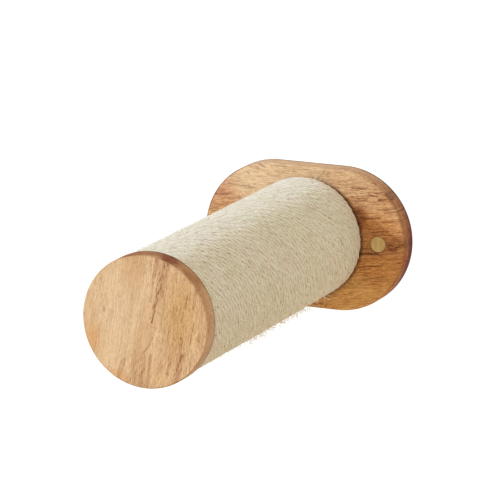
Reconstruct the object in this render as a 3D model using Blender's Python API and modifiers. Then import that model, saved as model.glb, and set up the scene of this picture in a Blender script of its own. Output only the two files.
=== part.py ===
"""Cat wall step: a sisal-wound post with a wooden end cap, standing out of a wooden wall plate.

World frame, in metres: +Z up, +X right, the wall's surface at Y = 0 and the post along -Y.
The origin is the middle of the plate's back face.

Everything is drawn in post coordinates (x right, y up, z out from the wall) and turned as a whole.
"""

import math

import bmesh
import bpy
from mathutils.bvhtree import BVHTree
from mathutils.kdtree import KDTree

# Gap between pieces that touch
CLEARANCE = 0.0003

# Wall plate: a slab with full round ends
PLATE_LENGTH = 0.150
PLATE_HEIGHT = 0.100
PLATE_THICKNESS = 0.015
PLATE_FRONT_ROUND = 0.0020
PLATE_BACK_ROUND = 0.0010

# Wall screws' seats near the plate's ends, each covered by a plug
PLUG_END_DISTANCE = 0.02025
PLUG_DIAMETER = 0.0112
PLUG_THICKNESS = 0.0050
PLUG_EDGE_ROUND = 0.0004
SCREW_HEAD_ROOM = 0.0040
SCREW_HOLE_DIAMETER = 0.0065

# Post and cap, which stands out past the winding by its overhang
POST_LENGTH = 0.250
CORE_DIAMETER = 0.0764
CORE_END_CHAMFER = 0.0008
CAP_OVERHANG = 0.0009
CAP_THICKNESS = 0.0130
CAP_EDGE_ROUND = 0.0011

# Sisal winding: one cord, drawn as turns that are each as wide as two or three of the real cord's
CORD_THICKNESS = 0.0043
WINDING_TURNS = 24
TURN_GAP = 0.0007
CORD_BEND_RADIUS = 0.0060
# The cord comes out of the core low on the left, and crosses from turn to turn on the left side
START_ANGLE = math.radians(250)

# Bolts from the plate's back into threaded inserts in the post
BOLT_EDGE_DISTANCE = 0.0182
BOLT_DIAMETER = 0.0080
BOLT_LENGTH = 0.0380
BOLT_HEAD_DIAMETER = 0.0160
BOLT_HEAD_RIM = 0.0004
BOLT_HEAD_SINK = 0.0006
BOLT_SOCKET_WIDTH = 0.0050
BOLT_SOCKET_DEPTH = 0.0030
BOLT_TIP_CHAMFER = 0.0010

# Threaded inserts
INSERT_DIAMETER = 0.0120
INSERT_LENGTH = 0.0180
INSERT_FLANGE_DIAMETER = 0.0155
INSERT_FLANGE_THICKNESS = 0.0015
INSERT_CHAMFER = 0.0008

# Hanger bolt between post and cap
HANGER_IN_CAP = 0.0090
HANGER_IN_CORE = 0.0200
HANGER_POINT = 0.0020

# Roundness
ARC_STEPS = 32
ROUND_SIDES = 64
CORE_SIDES = 48
SMALL_SIDES = 24
EDGE_STEPS = 3
LOOP_POINTS = 24
CROSSOVER_POINTS = 8
BEND_STEPS = 4

# Derived sizes, and places in post coordinates
PLUG_SPACING = PLATE_LENGTH - 2 * PLUG_END_DISTANCE
WOUND_DIAMETER = CORE_DIAMETER + 2 * (CLEARANCE + CORD_THICKNESS)
CAP_DIAMETER = WOUND_DIAMETER + 2 * CAP_OVERHANG
BOLT_SPACING = CORE_DIAMETER - 2 * BOLT_EDGE_DISTANCE
CORE_START = PLATE_THICKNESS + CLEARANCE
CAP_START = PLATE_THICKNESS + POST_LENGTH
CORE_END = CAP_START - CLEARANCE
PLUG_START = PLATE_THICKNESS - PLUG_THICKNESS
SCREW_SEAT = PLUG_START - SCREW_HEAD_ROOM
OVERCUT = 0.0020

# Facings: local +Z away from the wall, or into it
OUTWARD = (math.pi / 2, 0.0, 0.0)
INWARD = (-math.pi / 2, 0.0, 0.0)


def clear_scene():
    for item in list(bpy.data.objects):
        bpy.data.objects.remove(item)


def new_collection(name):
    group = bpy.data.collections.new(name)
    bpy.context.scene.collection.children.link(group)
    return group


def new_material(name, colour, roughness, metallic=0.0):
    material = bpy.data.materials.new(name)
    material.use_nodes = True
    shader = material.node_tree.nodes["Principled BSDF"]
    shader.inputs["Base Color"].default_value = (*colour, 1.0)
    shader.inputs["Roughness"].default_value = roughness
    shader.inputs["Metallic"].default_value = metallic
    return material


def place(item, spot, facing):
    """Put an object at a spot given in post coordinates."""
    item.location = (spot[0], -spot[2], spot[1])
    item.rotation_euler = facing


def add_object(name, mesh, spot, facing, group, material):
    item = bpy.data.objects.new(name, mesh)
    group.objects.link(item)
    place(item, spot, facing)
    if material:
        mesh.materials.append(material)
    else:
        item.hide_render = True
        item.display_type = "WIRE"
    return item


def mesh_from(name, form):
    mesh = bpy.data.meshes.new(name)
    form.to_mesh(mesh)
    form.free()
    mesh.shade_smooth()
    mesh.set_sharp_from_angle(angle=math.radians(35))
    return mesh


def cut(item, *cutters):
    for cutter in cutters:
        change = item.modifiers.new(cutter.name, "BOOLEAN")
        change.operation = "DIFFERENCE"
        change.solver = "EXACT"
        change.object = cutter


def turned(name, outline, sides, spot, facing, group, material=None, ring=False):
    """Turn an outline of (radius, height) points, run from top to bottom on the outside, about Z."""
    form = bmesh.new()
    points = [form.verts.new((radius, 0.0, height)) for radius, height in outline]
    for here, there in zip(points, points[1:]):
        form.edges.new((here, there))
    if ring:
        form.edges.new((points[-1], points[0]))
    mesh = bpy.data.meshes.new(name)
    form.to_mesh(mesh)
    form.free()
    item = add_object(name, mesh, spot, facing, group, material)
    turn = item.modifiers.new("turn", "SCREW")
    turn.axis = "Z"
    turn.angle = 2 * math.pi
    turn.steps = sides
    turn.render_steps = sides
    turn.use_merge_vertices = True
    turn.merge_threshold = 0.00001
    turn.use_smooth_shade = False
    return item


def rounded_disc(radius, bottom, top, edge, steps):
    """Outline of a disc with both rims rounded, or chamfered where there is one step."""
    angles = [math.pi / 2 * step / steps for step in range(steps + 1)]
    upper = [
        (radius - edge * (1 - math.sin(angle)), top - edge * (1 - math.cos(angle)))
        for angle in angles
    ]
    lower = [(across, bottom + top - height) for across, height in reversed(upper)]
    return [(0.0, top), *upper, *lower, (0.0, bottom)]


def swept(name, path, section, group, material=None):
    """Sweep a closed section (x away from the post's axis, y along it) along a path as one solid."""
    guide = bpy.data.curves.new(name + "_section", "CURVE")
    guide.dimensions = "2D"
    outline = guide.splines.new("POLY")
    outline.points.add(len(section) - 1)
    outline.use_cyclic_u = True
    for point, (across, along) in zip(outline.points, section):
        point.co = (across, along, 0.0, 1.0)
    guide_item = bpy.data.objects.new(guide.name, guide)
    group.objects.link(guide_item)

    tube = bpy.data.curves.new(name + "_tube", "CURVE")
    tube.dimensions = "3D"
    tube.twist_mode = "Z_UP"
    tube.bevel_mode = "OBJECT"
    tube.bevel_object = guide_item
    tube.use_fill_caps = True
    line = tube.splines.new("POLY")
    line.points.add(len(path) - 1)
    for point, spot in zip(line.points, path):
        point.co = (*spot, 1.0)
    tube_item = bpy.data.objects.new(tube.name, tube)
    group.objects.link(tube_item)

    bpy.context.view_layer.update()
    graph = bpy.context.evaluated_depsgraph_get()
    loose = bpy.data.meshes.new_from_object(tube_item.evaluated_get(graph), depsgraph=graph)
    form = bmesh.new()
    form.from_mesh(loose)
    bmesh.ops.remove_doubles(form, verts=form.verts, dist=0.000001)
    bmesh.ops.recalc_face_normals(form, faces=form.faces)
    for item in (tube_item, guide_item):
        bpy.data.objects.remove(item)
    return add_object(name, mesh_from(name, form), (0.0, 0.0, 0.0), OUTWARD, group, material)


# Sisal cord


def turn_pitch():
    """Pitch at which the turns, a set gap apart, fill the post from the plate to the cap."""
    return (POST_LENGTH - 2 * CLEARANCE + TURN_GAP) / WINDING_TURNS


def turn_width():
    return turn_pitch() - TURN_GAP


def turn_height(number):
    """Height of the middle of a turn where it lies flat, with the first turn beside the plate."""
    return PLATE_THICKNESS + CLEARANCE + turn_width() / 2 + number * turn_pitch()


def winding_radius():
    """Radius of the cord's middle at its points, raised so that the flats between them clear the core."""
    middle = CORE_DIAMETER / 2 + CLEARANCE + CORD_THICKNESS / 2
    return middle / math.cos(math.pi / LOOP_POINTS)


def on_post(angle, radius, along_turn, height):
    """Point at a radius and a sideways step from the turn's radial line, at an angle from +X."""
    x = radius * math.cos(angle) - along_turn * math.sin(angle)
    y = radius * math.sin(angle) + along_turn * math.cos(angle)
    return (x, y, height)


def station_angle(station):
    return START_ANGLE + 2 * math.pi * station / LOOP_POINTS


def tuck_path(around, height, side, extra):
    """The cord's end, from its turn inwards: a quarter bend, then a straight run into the core.

    side is -1 where the cord comes out of the core and +1 where it goes back in.
    """
    middle = winding_radius() - CORD_BEND_RADIUS
    bend = []
    for step in range(1, BEND_STEPS + 1):
        angle = math.pi / 2 * step / BEND_STEPS
        radius = middle + CORD_BEND_RADIUS * math.cos(angle)
        along = side * CORD_BEND_RADIUS * math.sin(angle)
        bend.append(on_post(around, radius, along, height))
    floor = middle - turn_width() - extra
    bend.append(on_post(around, floor, side * CORD_BEND_RADIUS, height))
    return bend


def climbed(station):
    """Turns climbed at a station: each turn lies flat, and crosses over to the next at its end."""
    turn, within = divmod(station, LOOP_POINTS)
    share = max(0.0, (within - LOOP_POINTS + CROSSOVER_POINTS) / CROSSOVER_POINTS)
    return turn + share * share * (3 - 2 * share)


def last_station():
    return WINDING_TURNS * LOOP_POINTS - CROSSOVER_POINTS


def cord_ends():
    """Angle, height and side of the cord's two ends, where it is tucked into the core."""
    start = (station_angle(0), turn_height(0), -1)
    end = (station_angle(last_station()), turn_height(WINDING_TURNS - 1), 1)
    return start, end


def winding_path():
    """The whole cord: out of the core, round the post, and into the core again."""
    start, end = cord_ends()
    turns = [
        on_post(station_angle(station), winding_radius(), 0.0, turn_height(climbed(station)))
        for station in range(last_station() + 1)
    ]
    return [*reversed(tuck_path(*start, 0.0)), *turns, *tuck_path(*end, 0.0)]


def cord_section():
    """Six-sided oval, as thick as the real cord and as wide as a drawn turn."""
    half_width = turn_width() / 2
    half_thick = CORD_THICKNESS / 2
    side = [(half_thick, half_width / 2), (half_thick, -half_width / 2)]
    return [(0.0, half_width), *side, (0.0, -half_width), *[(-x, -y) for x, y in side]]


def least_gap_to_itself(cord, path):
    """Least distance from the cord's points to its faces more than half a turn away along it."""
    middle = KDTree(len(path))
    for station, spot in enumerate(path):
        middle.insert(spot, station)
    middle.balance()
    points = [vertex.co for vertex in cord.data.vertices]
    along = [middle.find(point)[1] for point in points]
    faces = [tuple(face.vertices) for face in cord.data.polygons]
    skin = BVHTree.FromPolygons(points, faces)
    least = math.inf
    for point, station in zip(points, along):
        for _, _, face, distance in skin.find_nearest_range(point, turn_pitch()):
            if abs(along[faces[face][0]] - station) > LOOP_POINTS / 2:
                least = min(least, distance)
    return least


def make_rope(parts, material):
    path = winding_path()
    cord = swept("sisal_rope", path, cord_section(), parts, material)
    print(f"sisal_rope: least gap to itself {least_gap_to_itself(cord, path) * 1000:.2f} mm")
    return cord


def make_tuck_slots(cutters):
    """Slots in the post's two ends, which the cord's ends are tucked into, open at the end face."""
    half_thick = CORD_THICKNESS / 2 + CLEARANCE
    inner = turn_width() / 2 + CLEARANCE
    outer = turn_width() / 2 + CLEARANCE + OVERCUT
    slots = []
    for name, end in zip(("tuck_slot_wall", "tuck_slot_cap"), cord_ends()):
        around, height, side = end
        lead_in = on_post(around, winding_radius(), -side * 2 * CORD_BEND_RADIUS, height)
        bend_start = on_post(around, winding_radius(), 0.0, height)
        path = [lead_in, bend_start, *tuck_path(*end, CLEARANCE)]
        low, high = (-outer, inner) if side < 0 else (-inner, outer)
        section = [(half_thick, high), (half_thick, low), (-half_thick, low), (-half_thick, high)]
        slots.append(swept(name, path, section, cutters))
    return slots


# Wood


def stadium_points():
    """Outline of the plate: two half circles joined by straight edges."""
    radius = PLATE_HEIGHT / 2
    reach = PLATE_LENGTH / 2 - radius
    points = []
    for side in (1, -1):
        for step in range(ARC_STEPS + 1):
            angle = math.pi * step / ARC_STEPS - math.pi / 2
            points.append((side * (reach + radius * math.cos(angle)), side * radius * math.sin(angle)))
    return points


def make_wall_plate(parts, material):
    form = bmesh.new()
    outline = [form.verts.new((x, y, 0.0)) for x, y in stadium_points()]
    back = form.faces.new(outline)
    raised = bmesh.ops.extrude_face_region(form, geom=[back])["geom"]
    front_points = [piece for piece in raised if isinstance(piece, bmesh.types.BMVert)]
    bmesh.ops.translate(form, vec=(0.0, 0.0, PLATE_THICKNESS), verts=front_points)
    bmesh.ops.recalc_face_normals(form, faces=form.faces)

    widest = max(PLATE_FRONT_ROUND, PLATE_BACK_ROUND)
    weight = form.edges.layers.float.new("bevel_weight_edge")
    for edge in form.edges:
        ends = [vertex.co.z for vertex in edge.verts]
        if min(ends) > PLATE_THICKNESS / 2:
            edge[weight] = PLATE_FRONT_ROUND / widest
        elif max(ends) < PLATE_THICKNESS / 2:
            edge[weight] = PLATE_BACK_ROUND / widest
    mesh = mesh_from("wall_plate", form)
    plate = add_object("wall_plate", mesh, (0.0, 0.0, 0.0), OUTWARD, parts, material)
    rim = plate.modifiers.new("rounded_rims", "BEVEL")
    rim.limit_method = "WEIGHT"
    rim.width = widest
    rim.segments = EDGE_STEPS
    return plate


def make_post_core(parts, material):
    outline = rounded_disc(CORE_DIAMETER / 2, CORE_START, CORE_END, CORE_END_CHAMFER, 1)
    return turned("post_core", outline, CORE_SIDES, (0.0, 0.0, 0.0), OUTWARD, parts, material)


def make_end_cap(parts, material):
    outline = rounded_disc(CAP_DIAMETER / 2, 0.0, CAP_THICKNESS, CAP_EDGE_ROUND, EDGE_STEPS)
    return turned("end_cap", outline, ROUND_SIDES, (0.0, 0.0, CAP_START), OUTWARD, parts, material)


def make_plug(name, across, parts, material):
    """Plug with its origin on its own axis, where its inner end lies when it is seated."""
    outline = rounded_disc(PLUG_DIAMETER / 2, 0.0, PLUG_THICKNESS, PLUG_EDGE_ROUND, 1)
    return turned(name, outline, SMALL_SIDES, (across, 0.0, PLUG_START), OUTWARD, parts, material)


def make_screw_way(name, across, cutters):
    """Way for a wall screw: the plug's seat and head room, then the shank's hole through the back."""
    seat = PLUG_DIAMETER / 2 + CLEARANCE
    hole = SCREW_HOLE_DIAMETER / 2
    top = PLATE_THICKNESS + OVERCUT
    outline = [
        (0.0, top),
        (seat, top),
        (seat, SCREW_SEAT),
        (hole, SCREW_SEAT),
        (hole, -OVERCUT),
        (0.0, -OVERCUT),
    ]
    return turned(name, outline, SMALL_SIDES, (across, 0.0, 0.0), OUTWARD, cutters)


# Fasteners. Their heights count from the post's end face, into the post


def head_height():
    """Height of a bolt's head top, which lies a little below the plate's back face."""
    return BOLT_HEAD_SINK - CORE_START


def make_bolt(name, up, parts, cutters, material):
    top = head_height() + BOLT_LENGTH
    radius = BOLT_DIAMETER / 2
    head = BOLT_HEAD_DIAMETER / 2
    rim = head_height() + BOLT_HEAD_RIM
    outline = [
        (0.0, top),
        (radius - BOLT_TIP_CHAMFER, top),
        (radius, top - BOLT_TIP_CHAMFER),
        (radius, rim + head - radius),
        (head, rim),
        (head, head_height()),
        (0.0, head_height()),
    ]
    bolt = turned(name, outline, SMALL_SIDES, (0.0, up, CORE_START), OUTWARD, parts, material)
    form = bmesh.new()
    corner = BOLT_SOCKET_WIDTH / math.sqrt(3)
    depth = BOLT_SOCKET_DEPTH + OVERCUT
    bmesh.ops.create_cone(
        form, cap_ends=True, segments=6, radius1=corner, radius2=corner, depth=depth
    )
    middle = head_height() + BOLT_SOCKET_DEPTH - depth / 2
    bmesh.ops.translate(form, vec=(0.0, 0.0, middle), verts=form.verts)
    socket = mesh_from(name + "_socket", form)
    cut(bolt, add_object(socket.name, socket, (0.0, up, CORE_START), OUTWARD, cutters, None))
    return bolt


def make_insert(name, up, base, facing, parts, material):
    """Threaded insert with a flange flush with the post's end face."""
    bore = BOLT_DIAMETER / 2 + CLEARANCE
    body = INSERT_DIAMETER / 2
    flange = INSERT_FLANGE_DIAMETER / 2
    outline = [
        (bore, INSERT_LENGTH),
        (body - INSERT_CHAMFER, INSERT_LENGTH),
        (body, INSERT_LENGTH - INSERT_CHAMFER),
        (body, INSERT_FLANGE_THICKNESS),
        (flange, INSERT_FLANGE_THICKNESS),
        (flange, 0.0),
        (bore, 0.0),
    ]
    return turned(name, outline, SMALL_SIDES, (0.0, up, base), facing, parts, material, ring=True)


def insert_way(reach):
    """Outline of the hole in the post for an insert and for the bolt that runs on past it."""
    bolt = BOLT_DIAMETER / 2 + CLEARANCE
    body = INSERT_DIAMETER / 2 + CLEARANCE
    flange = INSERT_FLANGE_DIAMETER / 2 + CLEARANCE
    floor = max(reach, INSERT_LENGTH) + CLEARANCE
    shoulder = INSERT_LENGTH + CLEARANCE
    step = INSERT_FLANGE_THICKNESS + CLEARANCE
    mouth = -CLEARANCE / 2
    outline = [(0.0, floor)]
    if floor > shoulder:
        outline += [(bolt, floor), (bolt, shoulder)]
    outline += [(body, shoulder), (body, step), (flange, step), (flange, mouth), (bolt, mouth)]
    return outline


def make_bolt_way(name, up, cutters):
    """Way for a bolt: its insert's pocket in the post and its countersunk hole in the plate."""
    bolt = BOLT_DIAMETER / 2 + CLEARANCE
    head = BOLT_HEAD_DIAMETER / 2 + CLEARANCE
    rim = head_height() + BOLT_HEAD_RIM
    bottom = -CORE_START - OVERCUT
    outline = [
        *insert_way(head_height() + BOLT_LENGTH),
        (bolt, rim + head - bolt),
        (head, rim),
        (head, bottom),
        (0.0, bottom),
    ]
    return turned(name, outline, SMALL_SIDES, (0.0, up, CORE_START), OUTWARD, cutters)


def make_hanger_bolt(parts, material):
    radius = BOLT_DIAMETER / 2
    bottom = -CLEARANCE - HANGER_IN_CAP
    outline = [
        (0.0, HANGER_IN_CORE),
        (radius - BOLT_TIP_CHAMFER, HANGER_IN_CORE),
        (radius, HANGER_IN_CORE - BOLT_TIP_CHAMFER),
        (radius, bottom + HANGER_POINT),
        (radius / 2, bottom),
        (0.0, bottom),
    ]
    end = (0.0, 0.0, CORE_END)
    return turned("cap_hanger_bolt", outline, SMALL_SIDES, end, INWARD, parts, material)


def make_hanger_way(cutters):
    """Way for the hanger bolt: its insert's pocket in the post and its blind hole in the cap."""
    bolt = BOLT_DIAMETER / 2 + CLEARANCE
    bottom = -2 * CLEARANCE - HANGER_IN_CAP
    outline = [*insert_way(HANGER_IN_CORE), (bolt, bottom), (0.0, bottom)]
    return turned("hanger_way", outline, SMALL_SIDES, (0.0, 0.0, CORE_END), INWARD, cutters)


def build():
    clear_scene()
    parts = new_collection("cat_wall_step")
    cutters = new_collection("cutters")
    cap_wood = new_material("cap_wood", (0.70, 0.44, 0.22), 0.55)
    plate_wood = new_material("plate_wood", (0.60, 0.33, 0.14), 0.55)
    plug_wood = new_material("plug_wood", (0.62, 0.45, 0.22), 0.60)
    core_wood = new_material("core_wood", (0.66, 0.48, 0.29), 0.70)
    sisal = new_material("sisal", (0.72, 0.66, 0.51), 0.90)
    zinc_steel = new_material("zinc_steel", (0.55, 0.56, 0.58), 0.35, 1.0)
    insert_metal = new_material("insert_metal", (0.62, 0.54, 0.36), 0.40, 1.0)

    plate = make_wall_plate(parts, plate_wood)
    core = make_post_core(parts, core_wood)
    cap = make_end_cap(parts, cap_wood)
    make_rope(parts, sisal)
    cut(core, *make_tuck_slots(cutters))

    for side, across in (("left", -PLUG_SPACING / 2), ("right", PLUG_SPACING / 2)):
        make_plug("screw_plug_" + side, across, parts, plug_wood)
        cut(plate, make_screw_way("screw_way_" + side, across, cutters))

    for side, up in (("upper", BOLT_SPACING / 2), ("lower", -BOLT_SPACING / 2)):
        make_bolt("core_bolt_" + side, up, parts, cutters, zinc_steel)
        make_insert("core_insert_" + side, up, CORE_START, OUTWARD, parts, insert_metal)
        way = make_bolt_way("bolt_way_" + side, up, cutters)
        cut(plate, way)
        cut(core, way)

    make_insert("cap_insert", 0.0, CORE_END, INWARD, parts, insert_metal)
    make_hanger_bolt(parts, zinc_steel)
    way = make_hanger_way(cutters)
    cut(core, way)
    cut(cap, way)


build()
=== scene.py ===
import math

import bmesh
import bpy
from mathutils import Matrix, Vector


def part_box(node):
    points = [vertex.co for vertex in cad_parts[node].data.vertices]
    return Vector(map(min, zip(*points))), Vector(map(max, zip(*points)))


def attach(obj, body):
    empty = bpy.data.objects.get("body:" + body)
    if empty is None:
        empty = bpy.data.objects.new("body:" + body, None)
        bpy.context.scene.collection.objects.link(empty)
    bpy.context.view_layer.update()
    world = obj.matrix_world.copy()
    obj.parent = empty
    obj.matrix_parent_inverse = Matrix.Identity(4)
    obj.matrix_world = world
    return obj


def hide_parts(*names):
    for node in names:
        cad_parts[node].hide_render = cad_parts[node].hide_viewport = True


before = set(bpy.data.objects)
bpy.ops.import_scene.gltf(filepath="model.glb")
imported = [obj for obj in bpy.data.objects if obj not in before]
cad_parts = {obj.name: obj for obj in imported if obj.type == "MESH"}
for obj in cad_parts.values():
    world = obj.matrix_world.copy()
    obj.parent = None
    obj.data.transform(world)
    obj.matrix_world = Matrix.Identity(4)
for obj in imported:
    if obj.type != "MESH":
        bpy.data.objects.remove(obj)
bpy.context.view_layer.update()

print("frame loaded")


# Small helpers

def paint(red, green, blue):
    # an 8-bit screen colour as the linear colour that the shaders take
    def linear(value):
        share = value / 255
        return share / 12.92 if share <= 0.04045 else ((share + 0.055) / 1.055) ** 2.4
    return (linear(red), linear(green), linear(blue), 1.0)


def feed(tree, socket, value):
    if isinstance(value, bpy.types.NodeSocket):
        tree.links.new(value, socket)
    else:
        socket.default_value = value


def addNode(tree, kind, inputs=None, **settings):
    node = tree.nodes.new(kind)
    for name, value in settings.items():
        setattr(node, name, value)
    for key, value in (inputs or {}).items():
        feed(tree, node.inputs[key], value)
    return node


def maths(tree, operation, *values, clamp=False):
    node = addNode(tree, "ShaderNodeMath", operation=operation, use_clamp=clamp)
    for socket, value in zip(node.inputs, values):
        feed(tree, socket, value)
    return node.outputs[0]


def times(tree, first, second):
    return maths(tree, "MULTIPLY", first, second)


def vectorMaths(tree, operation, *values):
    node = addNode(tree, "ShaderNodeVectorMath", operation=operation)
    sockets = [node.inputs[0], node.inputs["Scale"]] if operation == "SCALE" else node.inputs
    for socket, value in zip(sockets, values):
        feed(tree, socket, value)
    return node.outputs["Value" if operation in {"DOT_PRODUCT", "LENGTH"} else "Vector"]


def remap(tree, value, low, high, newLow=0.0, newHigh=1.0, smooth=False):
    kind = "SMOOTHSTEP" if smooth else "LINEAR"
    node = addNode(tree, "ShaderNodeMapRange", interpolation_type=kind)
    for key, number in zip(range(5), (value, low, high, newLow, newHigh)):
        feed(tree, node.inputs[key], number)
    return node.outputs[0]


def blendColour(tree, share, first, second, how="MIX"):
    node = addNode(tree, "ShaderNodeMix", data_type="RGBA", blend_type=how, clamp_factor=True)
    feed(tree, node.inputs[0], share)
    feed(tree, node.inputs[6], first)
    feed(tree, node.inputs[7], second)
    return node.outputs[2]


def noise(tree, vector, scale, detail=2.0, roughness=0.5):
    sizes = {"Vector": vector, "Scale": scale, "Detail": detail, "Roughness": roughness}
    return addNode(tree, "ShaderNodeTexNoise", sizes)


def attribute(tree, name, output="Fac"):
    return addNode(tree, "ShaderNodeAttribute", attribute_name=name).outputs[output]


def onObject(tree):
    return addNode(tree, "ShaderNodeTexCoord").outputs["Object"]


def apart(tree, vector):
    return addNode(tree, "ShaderNodeSeparateXYZ", {"Vector": vector}).outputs


def together(tree, x, y=0.0, z=0.0):
    return addNode(tree, "ShaderNodeCombineXYZ", {"X": x, "Y": y, "Z": z}).outputs[0]


def newMaterial(name, roughness, metallic=0.0, specular=0.5):
    material = bpy.data.materials.new(name)
    material.use_nodes = True
    shader = material.node_tree.nodes["Principled BSDF"]
    shader.inputs["Roughness"].default_value = roughness
    shader.inputs["Metallic"].default_value = metallic
    shader.inputs["Specular IOR Level"].default_value = specular
    return material, material.node_tree, shader


def addBump(tree, shader, height, strength, distance):
    sizes = {"Height": height, "Strength": strength, "Distance": distance}
    tree.links.new(addNode(tree, "ShaderNodeBump", sizes).outputs[0], shader.inputs["Normal"])


def addPiece(name, mesh, material, body, slot, *nodes):
    item = bpy.data.objects.new(name, mesh)
    bpy.context.scene.collection.objects.link(item)
    mesh.materials.clear()
    mesh.materials.append(material)
    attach(item, body)
    if nodes:
        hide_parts(*nodes)


# Sizes that the frame gives, in metres. The post runs along -Y from the plate's front

plateLow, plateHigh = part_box("wall_plate")
capLow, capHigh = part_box("end_cap")
coreLow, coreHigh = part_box("post_core")
plateFront = -plateLow.y
capBack = -capHigh.y
capFront = -capLow.y
coreRadius = (coreHigh.x - coreLow.x) / 2
capRadius = (capHigh.x - capLow.x) / 2
gap = 0.0003            # between pieces that are fitted into each other
sameLevel = 0.00001     # points that differ less lie in one face
mergeWithin = 0.000002


# Camera at the photograph's angle

cameraView = {
    "place": (1.023762, -2.491633, 0.627079),
    "azimuth": 23.261,      # degrees round from straight on, to the right
    "elevation": 13.369,
    "roll": 0.5265,
    "lens": 285.768,
}


def makeCamera(look):
    data = bpy.data.cameras.new("photoCamera")
    data.lens = look["lens"]
    item = bpy.data.objects.new("photoCamera", data)
    bpy.context.scene.collection.objects.link(item)
    around = Matrix.Rotation(math.radians(look["azimuth"]), 4, "Z")
    tilt = Matrix.Rotation(math.radians(90 - look["elevation"]), 4, "X")
    roll = Matrix.Rotation(math.radians(look["roll"]), 4, "Z")
    item.matrix_world = Matrix.Translation(look["place"]) @ around @ tilt @ roll
    bpy.context.scene.camera = item


makeCamera(cameraView)
print("camera placed")


# Light, floor and white surroundings

studio = {
    "keyFrom": (-0.594, -0.707, 0.382),     # towards the lamp: upper left, in front
    "keyStrength": 1.60,
    "keyAngle": 2.5,
    "keyColour": (0.68, 0.88, 1.14),
    "fillStrength": 0.80,
    "fillColour": (1.0, 0.92, 0.80, 1.0),
    "floorBelow": 1.0,
    "floorReach": 8.0,
    "floorColour": (0.80, 0.80, 0.79, 1.0),
    "floorBounce": (0.76, 0.65, 0.48, 1.0),     # what the floor throws back onto the object
    "floorGlow": 0.40,      # brings the lit floor up to white for the camera
}


def seenDirectly(tree):
    # 1 for camera, mirror and see-through rays, 0 for the light that falls on the object
    path = addNode(tree, "ShaderNodeLightPath").outputs
    seen = maths(tree, "MAXIMUM", path["Is Camera Ray"], path["Is Glossy Ray"])
    return maths(tree, "MAXIMUM", seen, path["Is Transmission Ray"])


def makeWorld(look):
    world = bpy.data.worlds.new("studioWorld")
    bpy.context.scene.world = world
    world.use_nodes = True
    tree = world.node_tree
    background = tree.nodes["Background"]
    seen = seenDirectly(tree)
    white = (1.0, 1.0, 1.0, 1.0)
    strength = remap(tree, seen, 0.0, 1.0, look["fillStrength"], 1.0)
    feed(tree, background.inputs["Color"], blendColour(tree, seen, look["fillColour"], white))
    feed(tree, background.inputs["Strength"], strength)


def makeKey(look):
    lamp = bpy.data.lights.new("keyLamp", "SUN")
    lamp.energy = look["keyStrength"]
    lamp.angle = math.radians(look["keyAngle"])
    lamp.color = look["keyColour"]
    item = bpy.data.objects.new("keyLamp", lamp)
    bpy.context.scene.collection.objects.link(item)
    item.rotation_mode = "QUATERNION"
    item.rotation_quaternion = Vector(look["keyFrom"]).to_track_quat("Z", "Y")


def makeFloor(look):
    form = bmesh.new()
    bmesh.ops.create_circle(form, cap_ends=True, segments=96, radius=look["floorReach"])
    bmesh.ops.translate(form, vec=(0.0, 0.0, -look["floorBelow"]), verts=form.verts)
    mesh = bpy.data.meshes.new("floor")
    form.to_mesh(mesh)
    form.free()
    material, tree, shader = newMaterial("floorPaint", 0.9, specular=0.1)
    shader.inputs["Emission Color"].default_value = (1.0, 1.0, 1.0, 1.0)
    seen = seenDirectly(tree)
    colour = blendColour(tree, seen, look["floorBounce"], look["floorColour"])
    tree.links.new(colour, shader.inputs["Base Color"])
    glow = remap(tree, seen, 0.0, 1.0, 0.0, look["floorGlow"])
    tree.links.new(glow, shader.inputs["Emission Strength"])
    mesh.materials.append(material)
    item = bpy.data.objects.new("floor", mesh)
    bpy.context.scene.collection.objects.link(item)


scene = bpy.context.scene
scene.view_settings.view_transform = "Standard"
makeWorld(studio)
makeKey(studio)
makeFloor(studio)
print("light and floor set")


# Wood. X of the grain's own space runs along the fibres, Y across them in the face, Z inwards.
# What is placed on a face is in millimetres, right and up from the post's axis:
# a stroke: start right and up, end right and up, half width, depth, how many pores it draws
# a zone: right, up, half width, half height, share of it at full strength, strength, tone
# a rim shade, which is painted shade on the sides: where it starts and is full behind the front
# face, tone, the way it faces if not all round

everyWood = {
    "wobble": 1.2,              # how far strokes and zones wander off their plain shapes
    "wobbleScale": 260.0,
    "calmFibres": 0.58,         # what a calm zone leaves of the fibres, and of the pores
    "calmPores": 0.25,
    "strokeCore": 0.25,         # share of a stroke's half width that is at full depth
    "strokeBreaks": (0.45, 1.15),   # its depth comes and goes between these on its way
    "breakScale": 1200.0,
    "poreClouds": (0.2, 1.8),   # how far the share of pores swings from place to place
    "poreEdge": (0.14, 0.36),   # where a pore's edge starts and ends in its cell
    "ringKept": 0.15,           # what the painted shade ring keeps on the side that it doesn't face
    "ringTurns": (-22, 8),      # where it goes over from one to the other
    "ringFall": 1.6,            # more draws it closer to the post
    "ringStops": (0.0002, 0.0010),  # how far behind the front face it fades out
    "rimTurns": (0.6, 0.9),     # how squarely a painted rim shade has to face its way to start, and to be full
    "sideShows": 0.25,          # how far a face has to look sideways to count as a side
    "endPower": 1.2,            # more keeps the end grain to faces cut square across
    "endDotScale": 1500.0,
    "endPatchScale": 75.0,
    "endPatches": (0.62, 1.12),
    "endsRougher": 0.20,
    "linesRougher": 0.06,
    "linesDeep": 0.25,          # beside the pores, in the relief
    "reliefDepth": 0.00012,
}


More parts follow.
